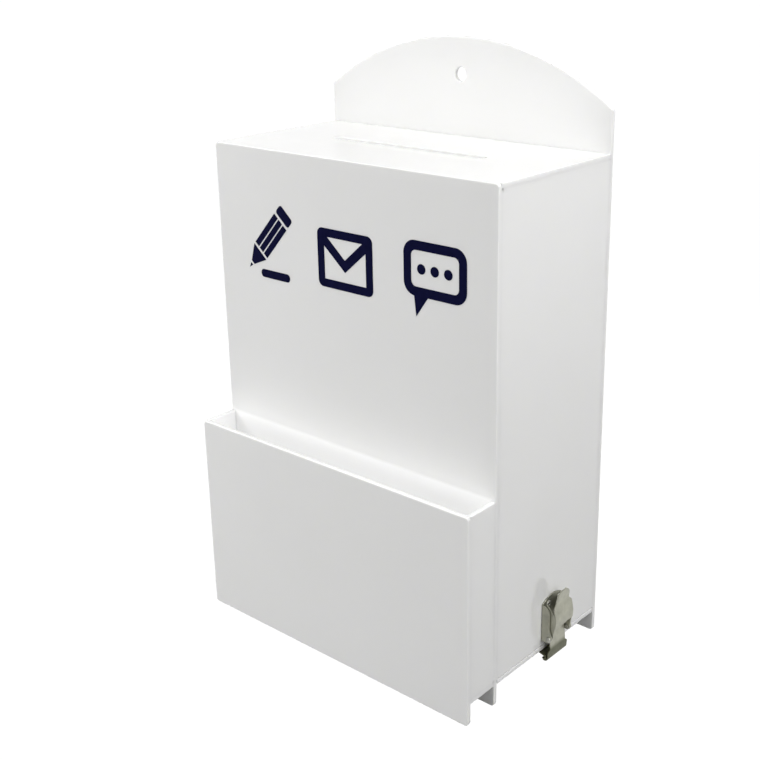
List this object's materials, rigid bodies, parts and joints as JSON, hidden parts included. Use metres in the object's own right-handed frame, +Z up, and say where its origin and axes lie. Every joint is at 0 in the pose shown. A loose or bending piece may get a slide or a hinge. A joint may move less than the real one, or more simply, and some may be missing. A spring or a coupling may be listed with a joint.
{
  "type": "suggestion box",
  "caption": "Wall-hung acrylic suggestion box with a slip slot on top, an open slip pocket in front, an arched back with a hanging hole, and a hinged bottom held by a draw latch.",
  "frame": {"origin": "under the middle of the part's bounding box, in the plane of the feet's lower edges", "axes": "+Z up along the height, +Y from the open front to the wall, +X to the right of someone facing the box, towards the latch"},
  "size_m": [0.2336, 0.135, 0.375],
  "materials": {
    "opal_acrylic": "polished white opal acrylic sheet",
    "nickel_plated_steel": "satin nickel plate, slightly warm",
    "screw_steel": "satin zinc plate",
    "navy_film": "cut self-adhesive film, satin"
  },
  "bodies": {
    "box": {"back_panel": "opal_acrylic", "front_hinge_box_a_nut": "screw_steel", "front_hinge_box_a_screw": "screw_steel", "front_hinge_box_b_nut": "screw_steel", "front_hinge_box_b_screw": "screw_steel", "front_hinge_box_leaf": "nickel_plated_steel", "front_hinge_pin": "screw_steel", "front_panel": "opal_acrylic", "latch_base": "nickel_plated_steel", "latch_base_lower_a_nut": "screw_steel", "latch_base_lower_a_screw": "screw_steel", "latch_base_lower_b_nut": "screw_steel", "latch_base_lower_b_screw": "screw_steel", "latch_base_upper_a_nut": "screw_steel", "latch_base_upper_a_screw": "screw_steel", "latch_base_upper_b_nut": "screw_steel", "latch_base_upper_b_screw": "screw_steel", "latch_lever_front_rivet": "screw_steel", "latch_lever_rear_rivet": "screw_steel", "left_side_panel": "opal_acrylic", "pocket_floor": "opal_acrylic", "pocket_front_panel": "opal_acrylic", "pocket_left_side": "opal_acrylic", "pocket_right_side": "opal_acrylic", "rear_hinge_box_a_nut": "screw_steel", "rear_hinge_box_a_screw": "screw_steel", "rear_hinge_box_b_nut": "screw_steel", "rear_hinge_box_b_screw": "screw_steel", "rear_hinge_box_leaf": "nickel_plated_steel", "rear_hinge_pin": "screw_steel", "right_side_panel": "opal_acrylic", "top_panel": "opal_acrylic"},
    "door": {"bottom_door": "opal_acrylic", "catch_a_nut": "screw_steel", "catch_a_screw": "screw_steel", "catch_b_nut": "screw_steel", "catch_b_screw": "screw_steel", "catch_plate": "nickel_plated_steel", "front_hinge_door_a_nut": "screw_steel", "front_hinge_door_a_screw": "screw_steel", "front_hinge_door_b_nut": "screw_steel", "front_hinge_door_b_screw": "screw_steel", "front_hinge_door_leaf": "nickel_plated_steel", "rear_hinge_door_a_nut": "screw_steel", "rear_hinge_door_a_screw": "screw_steel", "rear_hinge_door_b_nut": "screw_steel", "rear_hinge_door_b_screw": "screw_steel", "rear_hinge_door_leaf": "nickel_plated_steel"},
    "latch_lever": {"latch_lever": "nickel_plated_steel", "latch_claw_pin": "screw_steel"},
    "latch_claw": {"latch_claw": "nickel_plated_steel"}
  },
  "joints": [
    {"name": "door_swing", "type": "hinge", "parent": "box", "child": "door", "pos_m": [-0.11507, 0.0125, 0.01198], "axis": [0, 1, 0], "range_deg": [0, 110]},
    {"name": "latch_lever_turn", "type": "hinge", "parent": "box", "child": "latch_lever", "pos_m": [0.11265, 0.0163, 0.0242], "axis": [0, 1, 0], "range_deg": [0, 110]},
    {"name": "latch_claw_turn", "type": "hinge", "parent": "latch_lever", "child": "latch_claw", "pos_m": [0.11175, 0.0163, 0.0292], "axis": [0, 1, 0], "range_deg": [-121, 0]}
  ],
  "couplings": [
    {"joint": "latch_claw_turn", "follows": "latch_lever_turn", "ratio": -1.1}
  ]
}
